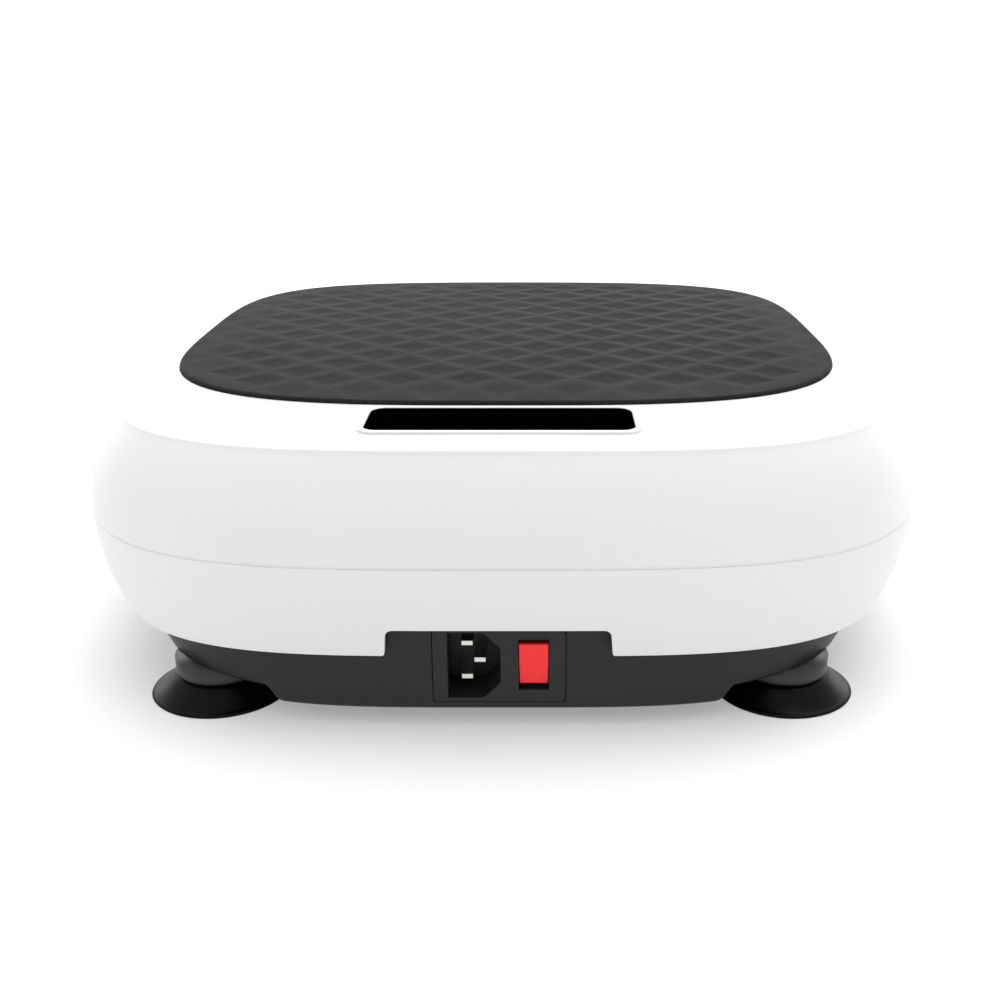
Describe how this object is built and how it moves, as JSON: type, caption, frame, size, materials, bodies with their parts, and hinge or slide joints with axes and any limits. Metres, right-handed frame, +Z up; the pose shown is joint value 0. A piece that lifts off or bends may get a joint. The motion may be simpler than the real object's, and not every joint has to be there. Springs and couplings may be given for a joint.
{
  "type": "vibration plate",
  "caption": "Low rocking vibration plate: white barrel-sided shell, diamond-embossed mat, touch display, side inlet and rocker switch, suction-cup feet.",
  "frame": {"origin": "on the floor under the middle of the plate, level with the rims of the four suction cups", "axes": "+Z up, -Y towards the side with the display, inlet and switch, +X to the right when that side is faced"},
  "size_m": [0.382, 0.416, 0.1199],
  "materials": {
    "shell_white": "gloss white moulded ABS",
    "mat_tpe": "embossed matt black TPE",
    "tray_grey": "satin charcoal moulded ABS",
    "collar_grey": "satin charcoal moulded plastic",
    "cup_rubber": "smooth black rubber",
    "lens_black": "gloss black smoked acrylic",
    "module_black": "fine-textured black moulded plastic",
    "pin_nickel": "nickel-plated brass",
    "rocker_red": "gloss red moulded plastic",
    "frame_steel": "black powder-coated steel",
    "bright_steel": "turned and ground steel",
    "zinc_steel": "zinc-plated steel",
    "bush_bronze": "sintered bronze",
    "pulley_alu": "turned aluminium",
    "belt_rubber": "ribbed black rubber",
    "buffer_rubber": "matt black rubber",
    "magnet_ferrite": "sintered ferrite",
    "armature_iron": "varnished laminations",
    "board_green": "green fibreglass circuit board",
    "display_grey": "dark display module",
    "capacitor_blue": "dark sleeved capacitor",
    "standoff_nylon": "white nylon",
    "housing_black": "black moulded plastic"
  },
  "bodies": {
    "base": {"base_tray": "tray_grey", "base_plate": "frame_steel", "plate_screws": "zinc_steel", "power_module_plate": "module_black", "inlet_socket": "module_black", "inlet_pins": "pin_nickel", "switch_housing": "module_black", "foot_bolts": "zinc_steel", "pivot_block_front": "frame_steel", "pivot_block_rear": "frame_steel", "pivot_axles": "bright_steel", "axle_clips": "bright_steel", "shaft_block_front": "frame_steel", "shaft_block_rear": "frame_steel", "shaft_bearings": "bright_steel", "drive_belt": "belt_rubber", "motor_can": "frame_steel", "motor_end_bell": "pulley_alu", "motor_magnets": "magnet_ferrite", "motor_bracket": "zinc_steel", "buffer_posts": "frame_steel", "buffer_pads": "buffer_rubber", "board_standoffs": "standoff_nylon", "drive_board": "board_green", "drive_heatsink": "pulley_alu", "drive_capacitors": "capacitor_blue", "block_bolts": "zinc_steel", "suction_cup_front_left": "cup_rubber", "foot_collar_front_left": "collar_grey", "suction_cup_front_right": "cup_rubber", "foot_collar_front_right": "collar_grey", "suction_cup_rear_left": "cup_rubber", "foot_collar_rear_left": "collar_grey", "suction_cup_rear_right": "cup_rubber", "foot_collar_rear_right": "collar_grey"},
    "platform": {"top_shell": "shell_white", "lower_shell": "shell_white", "mat": "mat_tpe", "display_bezel": "shell_white", "display_lens": "lens_black", "led_display": "display_grey", "control_board": "board_green", "control_housing": "housing_black", "touch_springs": "bright_steel", "ir_receiver": "display_grey", "platform_frame": "frame_steel", "deck_screws": "zinc_steel", "seam_screws": "zinc_steel", "pivot_hanger_front": "frame_steel", "pivot_hanger_rear": "frame_steel", "pivot_bushes": "bush_bronze", "drive_yokes": "frame_steel"},
    "drive_shaft_group": {"drive_shaft": "bright_steel", "eccentric_bearings": "bright_steel", "drive_pulley": "pulley_alu"},
    "motor_rotor": {"motor_shaft": "bright_steel", "motor_armature": "armature_iron", "motor_pulley": "pulley_alu"},
    "switch_rocker": {"power_rocker": "rocker_red"}
  },
  "joints": [
    {"name": "platform_rock", "type": "hinge", "parent": "base", "child": "platform", "pos_m": [0, 0, 0.062], "axis": [0, 1, 0], "range_deg": [-2, 2]},
    {"name": "drive_shaft_spin", "type": "hinge", "parent": "base", "child": "drive_shaft_group", "pos_m": [-0.08, 0, 0.062], "axis": [0, 1, 0], "continuous": true},
    {"name": "motor_spin", "type": "hinge", "parent": "base", "child": "motor_rotor", "pos_m": [0.075, 0, 0.062], "axis": [0, 1, 0], "continuous": true},
    {"name": "power_rocker_tilt", "type": "hinge", "parent": "base", "child": "switch_rocker", "pos_m": [0.01395, -0.193, 0.02805], "axis": [-1, 0, 0], "range_deg": [0, 18]}
  ],
  "couplings": [
    {"joint": "motor_spin", "follows": "drive_shaft_spin", "ratio": 2.7273}
  ]
}
